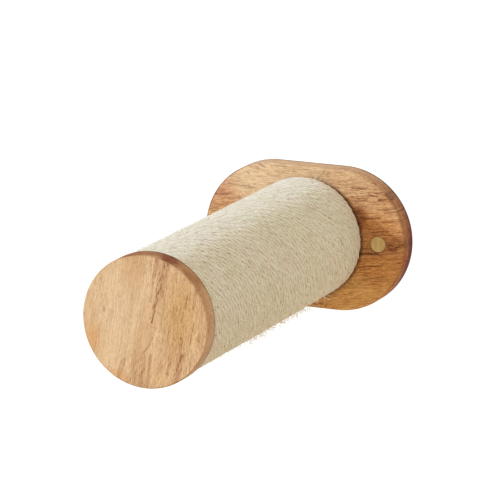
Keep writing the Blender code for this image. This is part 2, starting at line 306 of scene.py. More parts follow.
def strokeMask(tree, face, startX, startZ, endX, endZ, width):
    run = (endX - startX, 0.0, endZ - startZ)
    square = run[0] ** 2 + run[2] ** 2
    away = vectorMaths(tree, "SUBTRACT", face, (startX, 0.0, startZ))
    along = vectorMaths(tree, "DOT_PRODUCT", away, (run[0] / square, 0.0, run[2] / square))
    along = maths(tree, "ADD", along, 0.0, clamp=True)
    back = vectorMaths(tree, "SCALE", (-run[0], 0.0, -run[2]), along)
    reach = vectorMaths(tree, "LENGTH", vectorMaths(tree, "ADD", away, back))
    return remap(tree, reach, width * everyWood["strokeCore"], width, 1.0, 0.0, smooth=True)


def zoneMask(tree, face, right, up, wide, high, core, strength):
    away = vectorMaths(tree, "SUBTRACT", face, (right, 0.0, up))
    share = vectorMaths(tree, "MULTIPLY", away, (1 / wide, 0.0, 1 / high))
    return remap(tree, vectorMaths(tree, "LENGTH", share), core, 1.0, strength, 0.0, smooth=True)


def makeWood(name, look):
    material, tree, shader = newMaterial(name, look["roughness"], specular=look["shine"])
    place = onObject(tree)
    turn = [math.radians(angle) for angle in look["turn"]]
    grain = addNode(tree, "ShaderNodeMapping", {"Vector": place, "Rotation": turn}).outputs[0]

    # the fibres fan out and wander a little to both sides
    parts = apart(tree, grain)
    fan = maths(tree, "MULTIPLY_ADD", parts["X"], look["fan"], 1.0)
    grain = together(tree, parts["X"], times(tree, parts["Y"], fan), parts["Z"])
    drift = vectorMaths(tree, "MULTIPLY", grain, (0.35, 1.0, 1.0))
    drift = noise(tree, drift, look["swayScale"], 1.0).outputs["Color"]
    drift = vectorMaths(tree, "SUBTRACT", drift, (0.5, 0.5, 0.5))
    fibres = vectorMaths(tree, "MULTIPLY_ADD", drift, (0.0, look["sway"], look["sway"]), grain)

    # an offset only keeps one noise apart from another
    def stretched(stretch, offset=0.0):
        return vectorMaths(tree, "MULTIPLY_ADD", fibres, (1 / stretch, 1.0, 1.0), [offset] * 3)

    def fibreNoise(stretch, offset, scale, low, high, detail=3.0):
        grey = noise(tree, stretched(stretch, offset), scale, detail, 0.62).outputs[0]
        return remap(tree, grey, low, high)

    # growth bands, broad zones of other tones, and calm ones with fainter fibres and fewer pores
    bands = fibreNoise(look["bandStretch"], 0.0, look["bandScale"], 0.34, 0.66, 1.0)
    colour = blendColour(tree, bands, look["pale"], look["deep"])
    wobble = noise(tree, stretched(5.0, 2.1), everyWood["wobbleScale"], 2.0).outputs["Color"]
    wobble = vectorMaths(tree, "SUBTRACT", wobble, (0.5, 0.5, 0.5))
    face = vectorMaths(tree, "MULTIPLY", place, (1000.0, 0.0, 1000.0))
    strays = (everyWood["wobble"], 0.0, everyWood["wobble"])
    face = vectorMaths(tree, "MULTIPLY_ADD", wobble, strays, face)
    for *zone, tone in look["zones"]:
        colour = blendColour(tree, zoneMask(tree, face, *zone), colour, tone)
    calm = 0.0
    for zone in look["calm"]:
        calm = maths(tree, "MAXIMUM", calm, zoneMask(tree, face, *zone))

    # fibres: long thin lines that come and go, finer ones everywhere, shorter strokes between them
    ridge = noise(tree, stretched(look["lineStretch"], 0.3), look["lineScale"], 2.0, 0.5).outputs[0]
    ridge = maths(tree, "ABSOLUTE", maths(tree, "SUBTRACT", ridge, 0.5))
    present = fibreNoise(look["lineStretch"] * 0.4, 4.1, look["lineScale"] * 0.6, 0.40, 0.64, 1.0)
    lines = remap(tree, ridge, 0.0, look["lineWidth"], 1.0, 0.0, smooth=True)
    lines = times(tree, lines, present)
    fine = fibreNoise(look["lineStretch"], 0.3, look["fineScale"], 0.42, 0.70)
    strokes = fibreNoise(look["strokeStretch"], 0.5, look["strokeScale"], 0.44, 0.66, 2.0)
    shade = times(tree, lines, look["lineDepth"])
    shade = maths(tree, "MULTIPLY_ADD", fine, look["fineDepth"], shade)
    shade = maths(tree, "MULTIPLY_ADD", strokes, look["strokeDepth"], shade)
    fainter = remap(tree, calm, 0.0, 1.0, 1.0, everyWood["calmFibres"])
    shade = times(tree, shade, fainter)
    colour = blendColour(tree, shade, colour, look["line"], how="MULTIPLY")
    glints = fibreNoise(look["strokeStretch"], 3.7, look["strokeScale"], 0.56, 0.74, 2.0)
    colour = blendColour(tree, times(tree, glints, look["glint"]), colour, look["pale"])

    # stained strokes, broken up along the fibres, with a crowd of pores about them
    stain = 0.0
    crowd = noise(tree, stretched(4.0, 0.9), look["crowdScale"], 2.0).outputs[0]
    fewest, most = (look["poreShare"] * share for share in everyWood["poreClouds"])
    crowd = remap(tree, crowd, 0.42, 0.70, fewest, most)
    fewer = remap(tree, calm, 0.0, 1.0, 1.0, everyWood["calmPores"])
    crowd = times(tree, crowd, fewer)
    for *stroke, depth, crowding in look["strokes"]:
        mask = strokeMask(tree, face, *stroke)
        stain = maths(tree, "MAXIMUM", stain, times(tree, mask, depth))
        if crowding:
            crowd = maths(tree, "MULTIPLY_ADD", mask, crowding, crowd)
    broken = fibreNoise(6.0, 1.3, everyWood["breakScale"], 0.38, 0.60)
    broken = remap(tree, broken, 0.0, 1.0, *everyWood["strokeBreaks"])
    colour = blendColour(tree, times(tree, stain, broken), colour, look["stain"])

    # pores: short dark dashes
    inputs = {"Vector": stretched(look["poreStretch"], 0.7), "Scale": look["poreScale"]}
    cells = addNode(tree, "ShaderNodeTexVoronoi", {**inputs, "Randomness": 1.0}).outputs
    dash = remap(tree, cells["Distance"], *everyWood["poreEdge"], 1.0, 0.0, smooth=True)
    pick = apart(tree, cells["Color"])["X"]
    pores = times(tree, dash, maths(tree, "LESS_THAN", pick, crowd))
    pores = times(tree, pores, look["poreDepth"])
    colour = blendColour(tree, pores, colour, look["pore"])

    # painted shade round the post on the front face, most of it on the side where the post's shadow
    # falls
    behind = apart(tree, place)["Y"]
    if look["ring"]:
        ring = look["ring"]
        shaded = vectorMaths(tree, "DOT_PRODUCT", face, (ring["faces"][0], 0.0, ring["faces"][1]))
        least = ring["depth"] * everyWood["ringKept"]
        shaded = remap(tree, shaded, *everyWood["ringTurns"], least, ring["depth"])
        reach = vectorMaths(tree, "LENGTH", face)
        depth = remap(tree, reach, ring["radius"], ring["radius"] + ring["width"], 1.0, 0.0)
        depth = times(tree, depth, shaded)
        near, far = (look["front"] + stop for stop in everyWood["ringStops"])
        depth = times(tree, depth, remap(tree, behind, near, far, 1.0, 0.0))
        depth = maths(tree, "POWER", depth, everyWood["ringFall"])
        colour = blendColour(tree, depth, colour, look["stain"], how="MULTIPLY")

    # end grain drinks more of the oil, and is duller; the sides, which count in part, come out
    # darker and duller too
    ends = attribute(tree, "endGrain")
    dots = noise(tree, fibres, everyWood["endDotScale"], 2.0, 0.7).outputs[0]
    drunk = times(tree, ends, remap(tree, dots, 0.3, 0.7, 0.8, 1.0))
    patches = noise(tree, fibres, everyWood["endPatchScale"], 2.0).outputs[0]
    drunk = times(tree, drunk, remap(tree, patches, 0.36, 0.62, *everyWood["endPatches"]))
    colour = blendColour(tree, drunk, colour, look["end"], how="MULTIPLY")

    # painted shade on the sides, darker towards the back, and some of it only where they face one
    # way
    sides = remap(tree, attribute(tree, "sawnSide"), 0.0, everyWood["sideShows"])
    facing = vectorMaths(tree, "NORMALIZE", face)
    for start, full, tone, faces in look["rims"]:
        start, full = (look["front"] + depth / 1000 for depth in (start, full))
        rimShade = times(tree, remap(tree, behind, start, full, smooth=True), sides)
        if faces:
            turned = vectorMaths(tree, "DOT_PRODUCT", facing, (faces[0], 0.0, faces[1]))
            rimShade = times(tree, rimShade, remap(tree, turned, *everyWood["rimTurns"]))
        colour = blendColour(tree, rimShade, colour, tone, how="MULTIPLY")
    tree.links.new(colour, shader.inputs["Base Color"])

    swing = everyWood["linesRougher"]
    rough = remap(tree, lines, 0.0, 1.0, look["roughness"] - swing, look["roughness"] + swing)
    rough = maths(tree, "MULTIPLY_ADD", ends, everyWood["endsRougher"], rough)
    tree.links.new(rough, shader.inputs["Roughness"])
    # the relief leaves the placed strokes out, which would make its graph too long
    dents = times(tree, dash, maths(tree, "LESS_THAN", pick, look["poreShare"]))
    relief = maths(tree, "SUBTRACT", times(tree, lines, -everyWood["linesDeep"]), dents)
    addBump(tree, shader, relief, look["relief"], everyWood["reliefDepth"])
    return material


def markEndGrain(mesh, along, rimShare):
    # how squarely each corner's face cuts the fibres, where all the sides count in part,
    # and how far it looks sideways
    axis = Vector(along).normalized()
    ends = []
    sides = []
    for normal in mesh.corner_normals:
        sides.append(1 - abs(normal.vector.y))
        square = abs(normal.vector.dot(axis)) ** everyWood["endPower"]
        ends.append(max(square, rimShare * sides[-1]))
    for name, values in (("endGrain", ends), ("sawnSide", sides)):
        mesh.attributes.new(name, "FLOAT", "CORNER").data.foreach_set("value", values)


def finishForm(form, name, sharpAngle=40):
    bmesh.ops.recalc_face_normals(form, faces=form.faces)
    mesh = bpy.data.meshes.new(name)
    form.to_mesh(mesh)
    form.free()
    mesh.shade_smooth()
    mesh.set_sharp_from_angle(angle=math.radians(sharpAngle))
    return mesh


def turnedForm(outline, sides, across=0.0, up=0.0):
    # turns (radius, height) points about a line along the post, across and up from its axis
    form = bmesh.new()
    verts = [form.verts.new((radius, 0.0, height)) for radius, height in outline]
    edges = [form.edges.new(pair) for pair in zip(verts, verts[1:])]
    bmesh.ops.spin(
        form, geom=verts + edges, cent=(0, 0, 0), axis=(0, 0, 1), angle=2 * math.pi, steps=sides,
        use_merge=True,
    )
    bmesh.ops.remove_doubles(form, verts=form.verts, dist=mergeWithin)
    aim = Vector((0, -1, 0)).to_track_quat("Z", "Y").to_matrix().to_4x4()
    bmesh.ops.transform(form, matrix=Matrix.Translation((across, 0.0, up)) @ aim, verts=form.verts)
    return form


def roundedRim(radius, height, edge, steps, inwards):
    # quarter round at a rim, from the flat face to the side or back
    points = []
    for step in range(steps + 1):
        angle = math.pi / 2 * step / steps
        across = radius - edge * (1 - math.sin(angle))
        points.append((across, height - inwards * edge * (1 - math.cos(angle))))
    return points


# Wall plate

plateShape = {
    "frontRound": 0.0020,
    "backRound": 0.0010,
    "roundSteps": 7,
    "arcSteps": 80,
    "holeSides": 72,
    "screwHole": 0.0065,
    "headRoom": 0.0040,
    "boltHead": 0.0160,
    "boltHeadRim": 0.0004,
    "boltHeadSink": 0.0006,
    "bolt": 0.0080,
    "cutPast": 0.0020,      # how far each cut runs on past the plate's faces
}

# In the looks of the woods, Stretch is how many times longer than wide a mark is, Scale how many
# fit into a metre, Depth how strongly it comes out, and turn lays the fibres the piece's way

plateLook = {
    "turn": (-90.0, 0.0, -6.0), "fan": 1.6,
    "roughness": 0.52, "shine": 0.25, "relief": 0.35,
    "sway": 0.004, "swayScale": 22.0,
    "pale": paint(239, 195, 142), "deep": paint(217, 162, 107), "line": paint(160, 112, 78),
    "bandStretch": 7.0, "bandScale": 120.0,
    "lineStretch": 16.0, "lineScale": 620.0, "lineWidth": 0.090, "lineDepth": 0.42,
    "fineScale": 1900.0, "fineDepth": 0.74,
    "strokeStretch": 5.0, "strokeScale": 1900.0, "strokeDepth": 0.50, "glint": 0.45,
    "pore": paint(112, 62, 32), "poreStretch": 5.0, "poreScale": 1300.0, "poreShare": 0.22,
    "crowdScale": 60.0, "poreDepth": 0.75,
    "stain": paint(106, 54, 28),
    "end": paint(172, 119, 66),
    "strokes": [
        (-35, 48.6, -30, 46.6, 0.8, 0.61, 0), (-26, 48.3, -13, 48.7, 0.7, 0.38, 0),
        (-16, 47.2, 26, 48, 0.7, 0.2, 0), (-43.8, 42.4, -42.2, 41, 0.7, 0.48, 0),
        (-58, 32.6, -36, 31, 0.8, 0.48, 0), (-49, 30.9, -36, 29.6, 0.7, 0.31, 0),
        (-69, 24, -58, 24.8, 1.3, 0.55, 0.3), (-66, 28, -60, 28, 0.7, 0.34, 0),
        (35, 37.9, 44.7, 38.2, 0.8, 0.73, 0), (38, 28.6, 46.3, 30.6, 0.8, 0.73, 0),
        (47, 34.4, 54.4, 33.5, 0.8, 0.63, 0.3), (48.4, 36, 56.5, 36.6, 0.7, 0.54, 0),
        (55, 31.6, 60.5, 32.4, 1.2, 0.9, 0.3), (59.5, 35.5, 63.5, 32.4, 1.6, 0.5, 0),
        (54.5, 24.4, 67, 26.6, 0.8, 0.63, 0), (59.7, 22.5, 70, 24.6, 0.8, 0.63, 0),
        (58.4, 16, 71.5, 18.4, 0.7, 0.54, 0), (43.5, 17, 55.5, 18.8, 0.8, 0.83, 0),
        (50, 8, 59, 9.4, 0.8, 0.73, 0), (51, 6, 65.5, 8, 0.7, 0.54, 0),
        (43, -3.8, 74.5, 1.8, 4.8, 0.42, 0.5), (41.5, -5.2, 51, -4.4, 2.6, 0.35, 0.3),
        (41.7, -8.1, 54.9, -6.3, 1.7, 1, 0), (63.2, 0.5, 65, 0.4, 1.4, 0.95, 0),
        (63.1, -2.6, 65.4, -2.7, 1.5, 1, 0), (67.8, -1.2, 73.3, 1.9, 1.2, 1, 0),
        (66, 4.5, 69.7, 3.7, 2, 0.4, 0), (50, -8.4, 73.5, -3.6, 0.7, 0.54, 0),
        (39.9, 22.1, 44.4, 16.8, 2.2, 0.5, 0), (40.6, 14.9, 45.8, 15.1, 1.6, 0.4, 0),
        (60, -3.8, 68.3, -2.8, 0.8, 0.73, 0), (59.6, -10, 68.5, -8.8, 0.7, 0.58, 0),
        (41.9, -13.6, 71.4, -8.6, 0.7, 0.39, 0), (41.2, -17.7, 58.9, -14, 0.8, 0.7, 0.2),
        (41.9, -19.4, 50.1, -17.5, 0.7, 0.53, 0), (38, -26.8, 60.5, -22.3, 0.8, 0.39, 0),
        (34.7, -30, 57, -28.6, 0.8, 0.29, 0),
    ],
    "zones": [
        (-34, 40, 60, 28, 0.3, 0.9, paint(250, 220, 178)),
        (18, 44, 58, 20, 0.3, 0.7, paint(242, 208, 162)),
        (-64, 28, 18, 14, 0.3, 0.6, paint(232, 172, 130)),
        (45, -36, 50, 34, 0.6, 0.7, paint(242, 190, 110)),
        # partly the wood's own tone, partly painted warm light in the post's shadow
        (56, -4, 26, 34, 0.6, 0.6, paint(226, 158, 86)),
        (60, 3, 22, 14, 0.3, 0.35, paint(186, 112, 58)),
        # partly darker wood, partly painted shade beside the post
        (41.5, 18, 8, 13, 0.3, 0.62, paint(168, 90, 44)),
    ],
    "calm": [
        (-24, 44, 62, 26, 0.7, 0.85), (48, -42, 40, 20, 0.5, 0.7),
        (24, 47, 36, 12, 0.5, 0.4), (60, 22, 20, 20, 0.5, 0.25),
    ],
    "front": plateLow.y,
    # painted shade round the post, heaviest towards the lower right, where its shadow falls
    "ring": {"radius": 43.0, "width": 2.6, "depth": 0.80, "faces": (0.9, -0.4)},
    # painted shade on the sides: darker towards the back all round, on the side that faces lower
    # right, and as a thin dark line on the left
    "rims": [
        (11.6, 13.8, paint(138, 108, 92), None),
        (4.8, 8.8, paint(196, 116, 40), (0.85, -0.53)),
        (0, 1, paint(150, 130, 110), (-1.00, 0.05)),
    ],
}


def plateOutline(shape):
    radius = (plateHigh.z - plateLow.z) / 2
    reach = plateHigh.x - radius
    points = []
    for side in (1, -1):
        for step in range(shape["arcSteps"] + 1):
            angle = math.pi * step / shape["arcSteps"] - math.pi / 2
            across = reach + radius * math.cos(angle)
            points.append((side * across, side * radius * math.sin(angle)))
    return points


def plateSlab(shape):
    form = bmesh.new()
    back = form.faces.new([form.verts.new((x, 0.0, z)) for x, z in plateOutline(shape)])
    raised = bmesh.ops.extrude_face_region(form, geom=[back])["geom"]
    front = [item for item in raised if isinstance(item, bmesh.types.BMVert)]
    bmesh.ops.translate(form, vec=(0.0, -plateFront, 0.0), verts=front)
    bmesh.ops.recalc_face_normals(form, faces=form.faces)
    for level, width in ((plateFront, shape["frontRound"]), (0.0, shape["backRound"])):
        rim = [
            edge for edge in form.edges
            if all(abs(-vert.co.y - level) < sameLevel for vert in edge.verts)
        ]
        bmesh.ops.bevel(
            form, geom=rim, offset=width, segments=shape["roundSteps"], profile=0.5, affect="EDGES"
        )
    return form


def screwWay(shape, plug):
    wide = plug["radius"] + gap
    narrow = shape["screwHole"] / 2
    top = plateFront + shape["cutPast"]
    seat = plateFront - plug["depth"] - shape["headRoom"]
    outline = [
        (0.0, top), (wide, top), (wide, seat), (narrow, seat),
        (narrow, -shape["cutPast"]), (0.0, -shape["cutPast"]),
    ]
    return turnedForm(outline, shape["holeSides"], across=plug["across"])


def boltWay(shape, up):
    shank = shape["bolt"] / 2 + gap
    head = shape["boltHead"] / 2 + gap
    rim = shape["boltHeadSink"] + shape["boltHeadRim"]
    top = plateFront + shape["cutPast"]
    outline = [
        (0.0, top), (shank, top), (shank, rim + head - shank), (head, rim),
        (head, -shape["cutPast"]), (0.0, -shape["cutPast"]),
    ]
    return turnedForm(outline, shape["holeSides"], up=up)


def carved(name, form, cutterForms):
    # cuts the ways out of a form and returns the plain mesh
    item = bpy.data.objects.new(name, finishForm(form, name))
    scene.collection.objects.link(item)
    cutters = []
    for number, cutterForm in enumerate(cutterForms):
        cutName = f"{name}Cut{number}"
        cutter = bpy.data.objects.new(cutName, finishForm(cutterForm, cutName))
        scene.collection.objects.link(cutter)
        cutters.append(cutter)
        change = item.modifiers.new(cutter.name, "BOOLEAN")
        change.solver = "EXACT"
        change.object = cutter
    even = item.modifiers.new("evenNormals", "WEIGHTED_NORMAL")
    even.keep_sharp = True
    bpy.context.view_layer.update()
    graph = bpy.context.evaluated_depsgraph_get()
    mesh = bpy.data.meshes.new_from_object(item.evaluated_get(graph), depsgraph=graph)
    mesh.name = name
    for old in (item, *cutters):
        bpy.data.objects.remove(old)
    return mesh


plugSides = {}
for side in ("left", "right"):
    low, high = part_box("screw_plug_" + side)
    plugSides[side] = {
        "across": (low.x + high.x) / 2, "radius": (high.x - low.x) / 2, "depth": high.y - low.y,
    }
boltHeights = []
for side in ("upper", "lower"):
    low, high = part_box("core_bolt_" + side)
    boltHeights.append((low.z + high.z) / 2)

plateCuts = [screwWay(plateShape, plug) for plug in plugSides.values()]
plateCuts += [boltWay(plateShape, up) for up in boltHeights]
plateMesh = carved("wallPlate", plateSlab(plateShape), plateCuts)
markEndGrain(plateMesh, (1, 0, 0), 0.3)
plateWood = makeWood("plateWood", plateLook)
addPiece("wallPlate", plateMesh, plateWood, "step", "plate_wood", "wall_plate")
print("wall plate made")


# Screw plugs

plugShape = {"edgeRound": 0.0004, "roundSteps": 4, "sides": 72, "lipFlat": 0.0002}

# for a wood with no marks of its own
plainFigure = {"strokes": [], "zones": [], "calm": [], "ring": None, "rims": []}

plugLook = {
    "turn": (-90.0, 0.0, -80.0), "fan": 0.0,
    "roughness": 0.55, "shine": 0.20, "relief": 0.3,
    "sway": 0.001, "swayScale": 60.0,
    "pale": paint(223, 199, 144), "deep": paint(205, 175, 116), "line": paint(206, 180, 138),
    "bandStretch": 4.0, "bandScale": 260.0,
    "lineStretch": 9.0, "lineScale": 700.0, "lineWidth": 0.080, "lineDepth": 0.20,
    "fineScale": 1600.0, "fineDepth": 0.30,
    "strokeStretch": 4.0, "strokeScale": 1300.0, "strokeDepth": 0.15, "glint": 0.10,
    "pore": paint(150, 108, 60), "poreStretch": 5.0, "poreScale": 1300.0, "poreShare": 0.10,
    "crowdScale": 200.0, "poreDepth": 0.40,
    "stain": paint(150, 108, 60),
    "end": paint(236, 222, 190),
    **plainFigure,
}


def plugForm(shape, plug):
    inner = plateFront - plug["depth"]
    rim = roundedRim(plug["radius"], plateFront, shape["edgeRound"], shape["roundSteps"], 1)
    foot = roundedRim(plug["radius"], inner, shape["edgeRound"], shape["roundSteps"], -1)
    flat = plug["radius"] - shape["edgeRound"] - shape["lipFlat"]
    outline = [
        (0.0, plateFront), (flat, plateFront), *rim, *reversed(foot), (flat, inner), (0.0, inner),
    ]
    return turnedForm(outline, shape["sides"], across=plug["across"])


plugWood = makeWood("plugWood", plugLook)
for side, plug in plugSides.items():
    name = "plug" + side.title()
    mesh = finishForm(plugForm(plugShape, plug), name)
    markEndGrain(mesh, (0, 0, 1), 0.0)
    addPiece(name, mesh, plugWood, "plug_" + side, "plug_wood", "screw_plug_" + side)
print("screw plugs made")


# End cap

capShape = {
    "edgeRound": 0.0011, "roundSteps": 7, "sides": 220,
    "boltHole": 0.0080, "boltHoleDepth": 0.0093, "lipFlat": 0.0003,
}

capLook = {
    "turn": (-90.0, 0.0, -82.0), "fan": 0.0,
    "roughness": 0.52, "shine": 0.25, "relief": 0.30,
    "sway": 0.004, "swayScale": 20.0,
    "pale": paint(239, 207, 165), "deep": paint(221, 182, 136), "line": paint(178, 130, 84),
    "bandStretch": 7.0, "bandScale": 100.0,
    "lineStretch": 16.0, "lineScale": 760.0, "lineWidth": 0.090, "lineDepth": 0.32,
    "fineScale": 1900.0, "fineDepth": 0.46,
    "strokeStretch": 4.5, "strokeScale": 1900.0, "strokeDepth": 0.42, "glint": 0.48,
    "pore": paint(122, 66, 24), "poreStretch": 7.0, "poreScale": 1350.0, "poreShare": 0.02,
    "crowdScale": 60.0, "poreDepth": 0.95,
    "stain": paint(148, 84, 40),
    "end": paint(168, 114, 60),
    "strokes": [
        (14.5, 42, 10, 20, 5, 0.34, 1), (8.4, 41, 6.5, 30, 2.2, 0.5, 0.2),
        (6.5, 30, 3.6, 14, 1.8, 0.28, 0.2), (10, 21, 7.5, 13, 3, 0.3, 1),
        (7.5, 13, 5, 3, 1.8, 0.28, 1), (6.2, 6, 4.6, 0, 0.7, 0.96, 0),
        (13.9, 38, 13.2, 35, 0.7, 0.9, 0), (12.7, 36.5, 12.1, 33.5, 0.7, 0.78, 0),
        (12.5, 31.5, 11.8, 28, 0.7, 0.96, 0), (11, 30, 10.4, 27, 0.7, 0.72, 0),
        (11.5, 26.5, 10.7, 23, 0.7, 1, 0), (10.1, 22.5, 9.3, 19, 0.7, 1, 0),
        (8.7, 20.5, 8.1, 17.5, 0.7, 0.78, 0), (9.4, 17, 8.6, 14, 0.7, 1, 0),
        (7.9, 14, 7, 10.5, 0.7, 0.96, 0), (6.3, 13, 5.6, 9.5, 0.7, 0.66, 0),
        (7.2, 8.5, 6.6, 6.5, 0.7, 0.84, 0), (4.2, -2.2, 5.8, -3, 0.6, 0.5, 0),
        (5.5, -9.5, 2.5, -16, 0.7, 0.6, 0), (2.5, -16, -0.5, -20, 0.8, 0.55, 0.4),
        (-1, -22, -2.5, -43, 3, 0.22, 0.9), (4, -21, 1.5, -42, 1.4, 0.5, 0.5),
        (-6.8, -20, -10.2, -42, 1.6, 0.26, 0.5), (-14.5, -26, -18.7, -39, 2.4, 0.3, 0.4),
        (30, 21, 27.2, 11, 0.6, 0.55, 0), (27, 9, 25.8, 2, 0.6, 0.8, 0),
        (26, -8, 24.8, -17, 1.4, 0.42, 0.8), (26.4, -9, 25.8, -12.5, 0.7, 0.9, 0),
        (25, -12, 24.3, -16, 0.7, 0.84, 0), (25.9, -19, 24.7, -24, 0.7, 0.84, 0),
        (23.6, -25, 22.4, -30, 0.7, 0.78, 0), (32, 23, 31, 17.5, 0.7, 0.6, 0),
        (29.4, 15.5, 28.4, 11.5, 0.7, 0.66, 0), (26.5, -19, 21, -36, 3.2, 0.32, 0.8),
        (35.5, 24, 33.5, 12, 1.4, 0.45, 0.5), (34.2, 3, 31.4, -12, 0.6, 0.7, 0),
        (31.2, -14, 29, -30, 0.6, 0.38, 0), (-28.6, 6.8, -28.4, 4.4, 1.3, 0.45, 0),
    ],
    "zones": [
        (26, 6, 17, 38, 0.3, 0.65, paint(222, 181, 118)),
        (12, -34, 18, 14, 0.3, 0.45, paint(237, 202, 152)),
        (-22, 8, 26, 36, 0.3, 0.6, paint(240, 210, 172)),
        (-37, -14, 8, 14, 0.3, 0.5, paint(234, 180, 116)),
        (-20, -38, 12, 8, 0.3, 0.5, paint(234, 178, 120)),
    ],
    "calm": [(-22, 4, 34, 46, 0.7, 0.75)],
    "front": capLow.y,
    "ring": None,
    # painted shade on the rim: darker towards the back all round, a little on its upper side, and
    # as a thin dark line on the lower left
    "rims": [
        (9.2, 13, paint(194, 180, 160), None),
        (1, 4, paint(248, 240, 222), (0.30, 0.95)),
        (0, 0.8, paint(186, 164, 138), (-0.95, -0.30)),
    ],
}


def capForm(shape):
    front = roundedRim(capRadius, capFront, shape["edgeRound"], shape["roundSteps"], 1)
    back = roundedRim(capRadius, capBack, shape["edgeRound"], shape["roundSteps"], -1)
    flat = capRadius - shape["edgeRound"] - shape["lipFlat"]
    hole = shape["boltHole"] / 2 + gap
    floor = capBack + shape["boltHoleDepth"]
    outline = [
        (0.0, capFront), (flat, capFront), *front, *reversed(back), (flat, capBack),
        (hole, capBack), (hole, floor), (0.0, floor),
    ]
    return turnedForm(outline, shape["sides"])


capMesh = finishForm(capForm(capShape), "endCap")
markEndGrain(capMesh, (0, 0, 1), 0.30)
capWood = makeWood("capWood", capLook)
addPiece("endCap", capMesh, capWood, "step", "cap_wood", "end_cap")
print("end cap made")


# Sisal cord: three twisted strands wound round the post in touching turns

cord = {
    "thickness": 0.0043,
    "lay": 0.0192,              # length over which the strands go once round each other
    "strandCentre": 0.00090,    # from the cord's middle to a strand's
    "strandThick": 0.00116,     # half the strand's size outwards
    "strandWide": 0.00126,      # half its size along the surface
    "spread": 1.10,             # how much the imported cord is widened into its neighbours
    "strandSides": 10,
    "stepsPerTurn": 158,
    "startAngle": 250,          # degrees from +X, where the cord comes out of the post
    "crossover": 1 / 3,         # share of each turn in which it moves over to the next
    "bendRadius": 0.0060,
    "tuckDepth": 0.0096,
    "wander": 0.00030,
    "wanderScale": 90.0,
    "unevenTwist": 0.55,        # turns that the twist runs ahead or behind over a decimetre or so
    "twistScale": 9.0,
    "quickTwist": 0.16,         # share of it that changes faster
    "quickScale": 55.0,
    "unevenSize": 0.10,
    "sizeScale": 110.0,
    "fibreSlant": 25,           # degrees between a strand's fibres and its own length
}


def onPost(angle, radius, beside, height):
    x = radius * math.cos(angle) - beside * math.sin(angle)
    z = radius * math.sin(angle) + beside * math.cos(angle)
    return (x, -height, z)


def cordPath(look):
    # out of the post, round it turn by turn, each flat and then crossing over, and into it again
    radius = coreRadius + gap + look["thickness"] / 2
    length = capBack - plateFront - 2 * gap
    turns = round(length / look["thickness"])
    pitch = length / turns
    first = plateFront + gap + pitch / 2
    perTurn = look["stepsPerTurn"]
    start = math.radians(look["startAngle"])
    lastStation = round((turns - look["crossover"]) * perTurn)

    def tuck(angle, height, side, steps=6):
        middle = radius - look["bendRadius"]
        points = []
        for step in range(1, steps + 1):
            bend = math.pi / 2 * step / steps
            away = middle + look["bendRadius"] * math.cos(bend)
            points.append(onPost(angle, away, side * look["bendRadius"] * math.sin(bend), height))
        for step in range(1, steps + 1):
            depth = middle - look["tuckDepth"] * step / steps
            points.append(onPost(angle, depth, side * look["bendRadius"], height))
        return points

    points = list(reversed(tuck(start, first, -1)))
    for station in range(lastStation + 1):
        turn, within = divmod(station / perTurn, 1.0)
        share = max(0.0, (within - 1 + look["crossover"]) / look["crossover"])
        climbed = turn + share * share * (3 - 2 * share)
        angle = start + 2 * math.pi * station / perTurn
        points.append(onPost(angle, radius, 0.0, first + climbed * pitch))
    end = start + 2 * math.pi * lastStation / perTurn
    points += tuck(end, first + (turns - 1) * pitch, 1)
    return points


def newTree(name, inputs):
    tree = bpy.data.node_groups.new(name, "GeometryNodeTree")
    tree.interface.new_socket("Geometry", in_out="INPUT", socket_type="NodeSocketGeometry")
    tree.interface.new_socket("Geometry", in_out="OUTPUT", socket_type="NodeSocketGeometry")
    for label, kind in inputs:
        tree.interface.new_socket(label, in_out="INPUT", socket_type="NodeSocket" + kind)
    return tree, tree.nodes.new("NodeGroupInput").outputs, tree.nodes.new("NodeGroupOutput")


def grown(name, mesh, tree, values):
    # runs the node tree on a guide mesh and returns its result as a plain mesh
    item = bpy.data.objects.new(name, mesh)
    scene.collection.objects.link(item)
    change = item.modifiers.new("grow", "NODES")
    change.node_group = tree
    for socket in tree.interface.items_tree:
        if socket.in_out == "INPUT" and socket.name in values:
            change[socket.identifier] = values[socket.name]
    bpy.context.view_layer.update()
    graph = bpy.context.evaluated_depsgraph_get()
    made = bpy.data.meshes.new_from_object(
        item.evaluated_get(graph), preserve_all_data_layers=True, depsgraph=graph
    )
    made.name = name
    bpy.data.objects.remove(item)
    return made


def randomValue(tree, low, high, seed, identity):
    node = addNode(tree, "FunctionNodeRandomValue", data_type="FLOAT")
    floats = [socket for socket in node.inputs if socket.type == "VALUE"]
    feed(tree, floats[0], low)
    feed(tree, floats[1], high)
    feed(tree, node.inputs["ID"], identity)
    feed(tree, node.inputs["Seed"], seed)
    return next(socket for socket in node.outputs if socket.type == "VALUE")


def captured(tree, geometry, values):
    # keeps values on the points of a geometry, each under its name
    node = addNode(tree, "GeometryNodeCaptureAttribute", {"Geometry": geometry}, domain="POINT")
    for name, value in values.items():
        node.capture_items.new("FLOAT" if value.type == "VALUE" else "VECTOR", name)
    for name, value in values.items():
        feed(tree, node.inputs[name], value)
    return node.outputs


def stored(tree, geometry, name, value, kind="FLOAT"):
    inputs = {"Geometry": geometry, "Name": name}
    node = addNode(tree, "GeometryNodeStoreNamedAttribute", inputs, data_type=kind)
    feed(tree, node.inputs["Value"], value)
    return node.outputs[0]


def finishTree(tree, geometry, material, output):
    joined = addNode(tree, "GeometryNodeRealizeInstances", {"Geometry": geometry})
    inputs = {"Geometry": joined.outputs[0], "Material": material}
    tree.links.new(addNode(tree, "GeometryNodeSetMaterial", inputs).outputs[0], output.inputs[0])
    return tree


